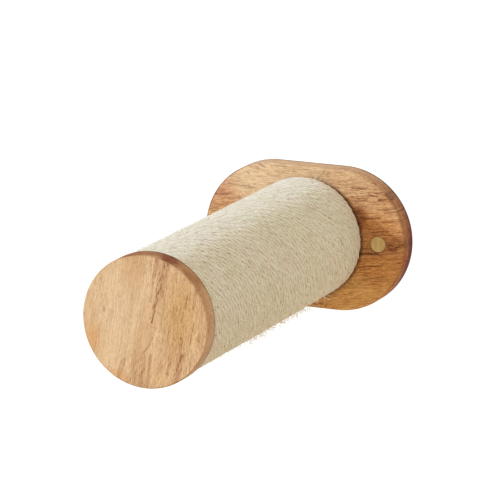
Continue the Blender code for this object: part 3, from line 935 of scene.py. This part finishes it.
def makeStrandTree(look):
    tree, given, output = newTree("strandOnPath", [
        ("Phase", "Float"), ("Lay", "Float"), ("Centre", "Float"), ("Thick", "Float"),
        ("Wide", "Float"), ("Spread", "Float"), ("Sides", "Int"), ("Wander", "Float"),
        ("Uneven Twist", "Float"), ("Uneven Size", "Float"), ("Fibre Slant", "Float"),
        ("Material", "Material"),
    ])
    path = addNode(tree, "GeometryNodeMeshToCurve", {"Mesh": given["Geometry"]}).outputs[0]

    # the cord's own directions: out from the post, and along it
    tangent = addNode(tree, "GeometryNodeInputTangent").outputs[0]
    along = addNode(tree, "GeometryNodeSplineParameter").outputs["Length"]
    outwards = vectorMaths(tree, "CROSS_PRODUCT", tangent, (0.0, -1.0, 0.0))
    outwards = vectorMaths(tree, "NORMALIZE", outwards)
    sideways = vectorMaths(tree, "CROSS_PRODUCT", outwards, tangent)
    place = addNode(tree, "GeometryNodeInputPosition").outputs[0]
    turns = maths(tree, "ADD", maths(tree, "DIVIDE", along, given["Lay"]), given["Phase"])
    # the twist runs ahead and behind by itself, so the strands of touching turns don't line up
    wave = together(tree, along)
    slow = noise(tree, wave, look["twistScale"], 1.0).outputs[0]
    slow = remap(tree, slow, 0.3, 0.7, -1.0, 1.0)
    quick = noise(tree, wave, look["quickScale"], 1.0).outputs[0]
    quick = remap(tree, quick, 0.3, 0.7, -look["quickTwist"], look["quickTwist"])
    uneven = times(tree, maths(tree, "ADD", slow, quick), given["Uneven Twist"])
    angle = times(tree, maths(tree, "ADD", turns, uneven), 2 * math.pi)
    cosine = maths(tree, "COSINE", angle)
    sine = maths(tree, "SINE", angle)

    def towards(upShare, sideShare):
        up = vectorMaths(tree, "SCALE", outwards, upShare)
        return vectorMaths(tree, "ADD", up, vectorMaths(tree, "SCALE", sideways, sideShare))

    # packed turns press each other square, so the strand's route round the cord is a soft square
    square = maths(tree, "ADD", maths(tree, "POWER", cosine, 4.0), maths(tree, "POWER", sine, 4.0))
    square = maths(tree, "POWER", square, -0.25)
    sideShare = times(tree, times(tree, sine, square), given["Spread"])
    kept = captured(tree, path, {
        "Aim": towards(cosine, sine), "Along": along,
        "Route": towards(times(tree, cosine, square), sideShare),
        "Sideways": sideways, "Place": place,
    })
    drift = noise(tree, place, look["wanderScale"], 2.0).outputs["Color"]
    drift = vectorMaths(tree, "SUBTRACT", drift, (0.5, 0.5, 0.5))
    drift = vectorMaths(tree, "SCALE", drift, given["Wander"])
    offset = vectorMaths(tree, "SCALE", kept["Route"], given["Centre"])
    offset = vectorMaths(tree, "ADD", offset, drift)
    inputs = {"Geometry": kept["Geometry"], "Offset": offset}
    moved = addNode(tree, "GeometryNodeSetPosition", inputs).outputs[0]
    lumps = noise(tree, together(tree, along, given["Phase"]), look["sizeScale"], 2.0).outputs[0]
    lumps = maths(tree, "SUBTRACT", lumps, 0.5)
    lumps = maths(tree, "MULTIPLY_ADD", lumps, given["Uneven Size"], 1.0)
    inputs = {"Curve": moved, "Radius": lumps}
    sized = addNode(tree, "GeometryNodeSetCurveRadius", inputs).outputs[0]
    faced = addNode(tree, "GeometryNodeSetCurveNormal", {"Curve": sized}, mode="FREE")
    feed(tree, faced.inputs["Normal"], kept["Aim"])

    # a slightly flattened section, which keeps its own angle for the fibres
    inputs = {"Resolution": given["Sides"], "Radius": 1.0}
    section = addNode(tree, "GeometryNodeCurvePrimitiveCircle", inputs).outputs[0]
    corner = addNode(tree, "GeometryNodeInputPosition").outputs[0]
    named = captured(tree, section, {"Corner": corner})
    sizes = together(tree, given["Thick"], given["Wide"], 1.0)
    flat = addNode(tree, "GeometryNodeTransform", {"Geometry": named["Geometry"], "Scale": sizes})
    strand = addNode(tree, "GeometryNodeCurveToMesh", {
        "Curve": faced.outputs[0], "Profile Curve": flat.outputs[0], "Fill Caps": True,
    }).outputs[0]

    # fibre space for the material: metres along the strand, and the place on its section, which
    # turns with the twist
    spin = times(tree, kept["Along"], given["Fibre Slant"])
    turned = addNode(tree, "ShaderNodeVectorRotate", {"Angle": spin}, rotation_type="Z_AXIS")
    feed(tree, turned.inputs["Vector"], named["Corner"])
    parts = apart(tree, turned.outputs[0])
    fibre = together(
        tree, kept["Along"],
        times(tree, parts["X"], given["Thick"]), times(tree, parts["Y"], given["Thick"]),
    )
    strand = stored(tree, strand, "fibreSpace", fibre, "FLOAT_VECTOR")
    strand = stored(tree, strand, "crest", apart(tree, named["Corner"])["X"])
    # how far the surface lies from the cord's own middle line, towards its neighbours
    here = addNode(tree, "GeometryNodeInputPosition").outputs[0]
    away = vectorMaths(tree, "SUBTRACT", here, kept["Place"])
    aside = vectorMaths(tree, "DOT_PRODUCT", away, kept["Sideways"])
    strand = stored(tree, strand, "aside", aside)
    return finishTree(tree, strand, given["Material"], output)


sisalLook = {
    "pale": paint(243, 240, 229), "warm": paint(240, 230, 213), "green": paint(236, 236, 212),
    "dark": paint(156, 126, 86),
    "fibreScale": 2400.0, "fibreStretch": 11.0, "fibreDepth": 0.64,
    "toneScale": 60.0, "patchScale": 26.0, "patchDepth": 0.6, "shadeAndDirtScale": 330.0,
    # painted shade, patchy like dirt, in the grooves between the strands and between the turns
    "grooveLeast": 0.12, "grooveDepth": 0.37, "fleckDepth": 0.5, "betweenDepth": 0.9,
    "grooveEdge": (0.10, 0.66),         # height on a strand where the painted shade and dirt of a groove thin out and end
    "betweenTurns": (0.0016, 0.0021),   # off the cord's middle line, where the painted shade and dirt between turns start and are full
    "roughness": 0.85, "shine": 0.15, "sheen": 0.20, "sheenRoughness": 0.6,
    "relief": 0.5, "reliefDepth": 0.0002,
}


def makeSisal(look):
    material, tree, shader = newMaterial("sisalFibre", look["roughness"], specular=look["shine"])
    shader.inputs["Sheen Weight"].default_value = look["sheen"]
    shader.inputs["Sheen Roughness"].default_value = look["sheenRoughness"]
    fibre = attribute(tree, "fibreSpace", "Vector")
    place = onObject(tree)

    # tones: along each strand, and in wide soft patches
    tone = noise(tree, fibre, look["toneScale"], 2.0).outputs[0]
    colour = blendColour(tree, remap(tree, tone, 0.35, 0.70), look["pale"], look["warm"])
    patch = noise(tree, place, look["patchScale"], 2.0).outputs[0]
    patch = remap(tree, patch, 0.42, 0.66, 0.0, look["patchDepth"])
    colour = blendColour(tree, patch, colour, look["green"])

    # single fibres, and painted shade with dirt here and there in the grooves between the strands
    # and between the turns
    longer = vectorMaths(tree, "MULTIPLY", fibre, (1 / look["fibreStretch"], 1.0, 1.0))
    fine = noise(tree, longer, look["fibreScale"], 3.0, 0.65).outputs[0]
    shade = times(tree, remap(tree, fine, 0.45, 0.72), look["fibreDepth"])
    crest = attribute(tree, "crest")
    grooveShade = remap(tree, crest, *look["grooveEdge"], 1.0, 0.0, smooth=True)
    aside = maths(tree, "ABSOLUTE", attribute(tree, "aside"))
    between = remap(tree, aside, *look["betweenTurns"], 0.0, look["betweenDepth"], smooth=True)
    grooveShade = maths(tree, "MAXIMUM", grooveShade, between)
    shadeAndDirt = noise(tree, place, look["shadeAndDirtScale"], 2.0).outputs[0]
    fleck = remap(tree, shadeAndDirt, 0.62, 0.70, 0.0, look["fleckDepth"])
    shadeAndDirt = remap(tree, shadeAndDirt, 0.36, 0.62, look["grooveLeast"], look["grooveDepth"])
    grooveShade = times(tree, grooveShade, maths(tree, "ADD", shadeAndDirt, fleck))
    colour = blendColour(tree, maths(tree, "MAXIMUM", shade, grooveShade), colour, look["dark"])
    tree.links.new(colour, shader.inputs["Base Color"])
    fine = times(tree, fine, -1.0)
    addBump(tree, shader, fine, look["relief"], look["reliefDepth"])
    return material


sisal = makeSisal(sisalLook)
strandTree = makeStrandTree(cord)
path = cordPath(cord)
for number in range(3):
    guide = bpy.data.meshes.new("cordPath")
    guide.from_pydata(path, [(step, step + 1) for step in range(len(path) - 1)], [])
    strandMesh = grown(f"sisalStrand{number + 1}", guide, strandTree, {
        "Phase": number / 3, "Lay": cord["lay"], "Centre": cord["strandCentre"],
        "Thick": cord["strandThick"], "Wide": cord["strandWide"], "Spread": cord["spread"],
        "Sides": cord["strandSides"], "Wander": cord["wander"],
        "Uneven Twist": cord["unevenTwist"], "Uneven Size": cord["unevenSize"],
        "Fibre Slant": math.tan(math.radians(cord["fibreSlant"])) / cord["strandThick"],
        "Material": sisal,
    })
    strandMesh.shade_smooth()
    addPiece(f"sisalStrand{number + 1}", strandMesh, sisal, "step", "sisal", "sisal_rope")
    print(f"strand {number + 1}: {len(strandMesh.polygons)} faces")


# Loose fibres on the winding

hairLook = {
    "pale": paint(246, 238, 220), "gold": paint(222, 190, 138), "roughness": 0.7, "shine": 0.3,
    "mottleScale": 400.0, "sides": 3,
    "tip": 0.35,                # how thick the tip is beside the root
    "bend": (1.2, 2.4),         # 1 rises straight off the winding, more only towards the tip
}


def makeHairTree(look):
    tree, given, output = newTree("looseFibres", [
        ("Count", "Int"), ("Points", "Int"), ("Seed", "Int"), ("Radius", "Float"),
        ("Low", "Float"), ("High", "Float"), ("Angle Low", "Float"), ("Angle High", "Float"),
        ("Short", "Float"), ("Long", "Float"), ("Lift Low", "Float"), ("Lift High", "Float"),
        ("Spread", "Float"), ("Curl", "Float"), ("Thickness", "Float"), ("Material", "Material"),
    ])
    total = times(tree, given["Count"], given["Points"])
    inputs = {"Count": total, "Position": (0.0, 0.0, 0.0)}
    cloud = addNode(tree, "GeometryNodePoints", inputs).outputs[0]
    index = addNode(tree, "GeometryNodeInputIndex").outputs[0]
    hair = maths(tree, "DIVIDE", maths(tree, "ADD", index, 0.5), given["Points"])
    hair = maths(tree, "FLOOR", hair)
    within = maths(tree, "SUBTRACT", index, times(tree, hair, given["Points"]))
    share = maths(tree, "DIVIDE", within, maths(tree, "SUBTRACT", given["Points"], 1.0))

    def anyOf(low, high, number):
        return randomValue(tree, low, high, maths(tree, "ADD", given["Seed"], number), hair)

    length = anyOf(given["Short"], given["Long"], 1)
    way = maths(tree, "SIGN", anyOf(-1.0, 1.0, 2))
    slant = anyOf(times(tree, given["Spread"], -1.0), given["Spread"], 3)
    reach = times(tree, times(tree, length, share), way)
    # each fibre bends sideways on its way, more towards its tip
    curl = anyOf(times(tree, given["Curl"], -1.0), given["Curl"], 4)
    heading = maths(tree, "MULTIPLY_ADD", share, curl, slant)
    around = times(tree, reach, maths(tree, "COSINE", heading))
    upwards = times(tree, reach, maths(tree, "SINE", heading))
    lift = times(tree, anyOf(given["Lift Low"], given["Lift High"], 5), length)
    away = times(tree, lift, maths(tree, "POWER", share, anyOf(*look["bend"], 6)))
    radius = maths(tree, "ADD", given["Radius"], away)
    angle = anyOf(given["Angle Low"], given["Angle High"], 7)
    angle = maths(tree, "ADD", angle, maths(tree, "DIVIDE", around, given["Radius"]))
    height = maths(tree, "ADD", anyOf(given["Low"], given["High"], 8), upwards)
    height = maths(tree, "MAXIMUM", maths(tree, "MINIMUM", height, given["High"]), given["Low"])
    spot = together(
        tree, times(tree, radius, maths(tree, "COSINE", angle)), times(tree, height, -1.0),
        times(tree, radius, maths(tree, "SINE", angle)),
    )
    placed = addNode(tree, "GeometryNodeSetPosition", {"Geometry": cloud, "Position": spot})
    toned = stored(tree, placed.outputs[0], "hairTone", anyOf(0.0, 1.0, 9))
    inputs = {"Points": toned, "Curve Group ID": hair, "Weight": share}
    hairs = addNode(tree, "GeometryNodePointsToCurves", inputs).outputs[0]
    along = addNode(tree, "GeometryNodeSplineParameter").outputs["Factor"]
    inputs = {"Curve": hairs, "Radius": remap(tree, along, 0.0, 1.0, 1.0, look["tip"])}
    thin = addNode(tree, "GeometryNodeSetCurveRadius", inputs).outputs[0]
    half = times(tree, given["Thickness"], 0.5)
    inputs = {"Resolution": look["sides"], "Radius": half}
    section = addNode(tree, "GeometryNodeCurvePrimitiveCircle", inputs).outputs[0]
    inputs = {"Curve": thin, "Profile Curve": section, "Fill Caps": True}
    mesh = addNode(tree, "GeometryNodeCurveToMesh", inputs).outputs[0]
    return finishTree(tree, mesh, given["Material"], output)


def makeHair(look):
    material, tree, shader = newMaterial("looseFibre", look["roughness"], specular=look["shine"])
    tone = attribute(tree, "hairTone")
    place = onObject(tree)
    mottle = noise(tree, place, look["mottleScale"], 1.0).outputs[0]
    mottle = remap(tree, mottle, 0.3, 0.7, 0.6, 1.0)
    share = times(tree, remap(tree, tone, 0.45, 1.0), mottle)
    feed(tree, shader.inputs["Base Color"], blendColour(tree, share, look["pale"], look["gold"]))
    return material


windingRadius = coreRadius + gap + cord["thickness"]
wholeWinding = {
    "Low": plateFront + 2 * gap, "High": capBack - 2 * gap,
    "Angle Low": 0.0, "Angle High": 2 * math.pi,
}
tuft = {"Points": 8, "Radius": windingRadius - 0.0006}
hairKinds = {
    "fibresLying": {
        "Count": 1500, "Points": 6, "Seed": 11, "Radius": windingRadius - 0.0004,
        "Short": 0.003, "Long": 0.009, "Lift Low": 0.0, "Lift High": 0.09,
        "Spread": 0.55, "Curl": 0.5, "Thickness": 0.00012, **wholeWinding,
    },
    "fibresStray": {
        "Count": 1300, "Points": 7, "Seed": 23, "Radius": windingRadius - 0.0005,
        "Short": 0.002, "Long": 0.006, "Lift Low": 0.15, "Lift High": 0.75,
        "Spread": 1.1, "Curl": 1.2, "Thickness": 0.00013, **wholeWinding,
    },
    "tuftAbove": {
        "Count": 8, "Seed": 41, **tuft,
        "Short": 0.0036, "Long": 0.0060, "Lift Low": 1.1, "Lift High": 2.0,
        "Spread": 0.5, "Curl": 1.3, "Thickness": 0.00036,
        "Angle Low": math.radians(70), "Angle High": math.radians(86),
        "Low": 0.0156, "High": 0.0190,
    },
    "tuftBelow": {
        "Count": 18, "Seed": 52, **tuft,
        "Short": 0.0028, "Long": 0.0060, "Lift Low": 0.5, "Lift High": 1.2,
        "Spread": 1.3, "Curl": 1.5, "Thickness": 0.00027,
        "Angle Low": math.radians(-60), "Angle High": math.radians(-50),
        "Low": 0.0600, "High": 0.0880,
    },
    "fuzzBelow": {
        "Count": 110, "Seed": 74, **tuft,
        "Short": 0.0022, "Long": 0.0056, "Lift Low": 0.35, "Lift High": 1.15,
        "Spread": 1.2, "Curl": 1.6, "Thickness": 0.00019,
        "Angle Low": math.radians(-62), "Angle High": math.radians(-48),
        "Low": 0.0900, "High": 0.1720,
    },
    "tuftFoot": {
        "Count": 6, "Seed": 63, **tuft,
        "Short": 0.0025, "Long": 0.0050, "Lift Low": 0.8, "Lift High": 1.5,
        "Spread": 0.8, "Curl": 1.2, "Thickness": 0.00028,
        "Angle Low": math.radians(-60), "Angle High": math.radians(-52),
        "Low": 0.0300, "High": 0.0440,
    },
}
hairTree = makeHairTree(hairLook)
hairMaterial = makeHair(hairLook)
for name, values in hairKinds.items():
    guide = bpy.data.meshes.new("fibreGuide")
    hairMesh = grown(name, guide, hairTree, {**values, "Material": hairMaterial})
    hairMesh.shade_smooth()
    addPiece(name, hairMesh, hairMaterial, "step", "sisal")
    print(f"{name}: {len(hairMesh.polygons)} faces")


# Pieces inside, which keep the frame's own shapes

everyMetal = {
    "cloudScale": 120.0, "brushScale": 300.0, "brushFiner": 12.0,
    "relief": 0.15, "reliefDepth": 0.0001,
    "worn": (-0.08, 0.10),      # how far brushing takes the roughness down and up
}
steelLook = {
    "colour": (0.62, 0.63, 0.65, 1.0), "stain": (0.50, 0.52, 0.55, 1.0), "roughness": 0.34,
}
brassLook = {
    "colour": (0.72, 0.60, 0.34, 1.0), "stain": (0.58, 0.46, 0.25, 1.0), "roughness": 0.36,
}


def makeMetal(name, look):
    material, tree, shader = newMaterial(name, look["roughness"], metallic=1.0)
    place = onObject(tree)
    cloudy = noise(tree, place, everyMetal["cloudScale"], 2.0).outputs[0]
    colour = blendColour(tree, remap(tree, cloudy, 0.35, 0.75), look["colour"], look["stain"])
    feed(tree, shader.inputs["Base Color"], colour)
    brushed = vectorMaths(tree, "MULTIPLY", place, (1.0, everyMetal["brushFiner"], 1.0))
    brushed = noise(tree, brushed, everyMetal["brushScale"], 3.0).outputs[0]
    smoothest, roughest = (look["roughness"] + change for change in everyMetal["worn"])
    feed(tree, shader.inputs["Roughness"], remap(tree, brushed, 0.3, 0.7, smoothest, roughest))
    addBump(tree, shader, brushed, everyMetal["relief"], everyMetal["reliefDepth"])
    return material


coreLook = {
    **capLook, **plainFigure,
    "turn": (0.0, 0.0, 90.0),
    "pale": paint(222, 190, 146), "deep": paint(204, 166, 118),
}
coreWood = makeWood("coreWood", coreLook)
steel = makeMetal("zincSteel", steelLook)
brass = makeMetal("insertBrass", brassLook)
nodeMaterials = {
    "post_core": coreWood,
    "core_bolt_upper": steel, "core_bolt_lower": steel, "cap_hanger_bolt": steel,
    "core_insert_upper": brass, "core_insert_lower": brass, "cap_insert": brass,
}
for name, material in nodeMaterials.items():
    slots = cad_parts[name].data.materials
    slots.clear()
    slots.append(material)
print("inner pieces finished")
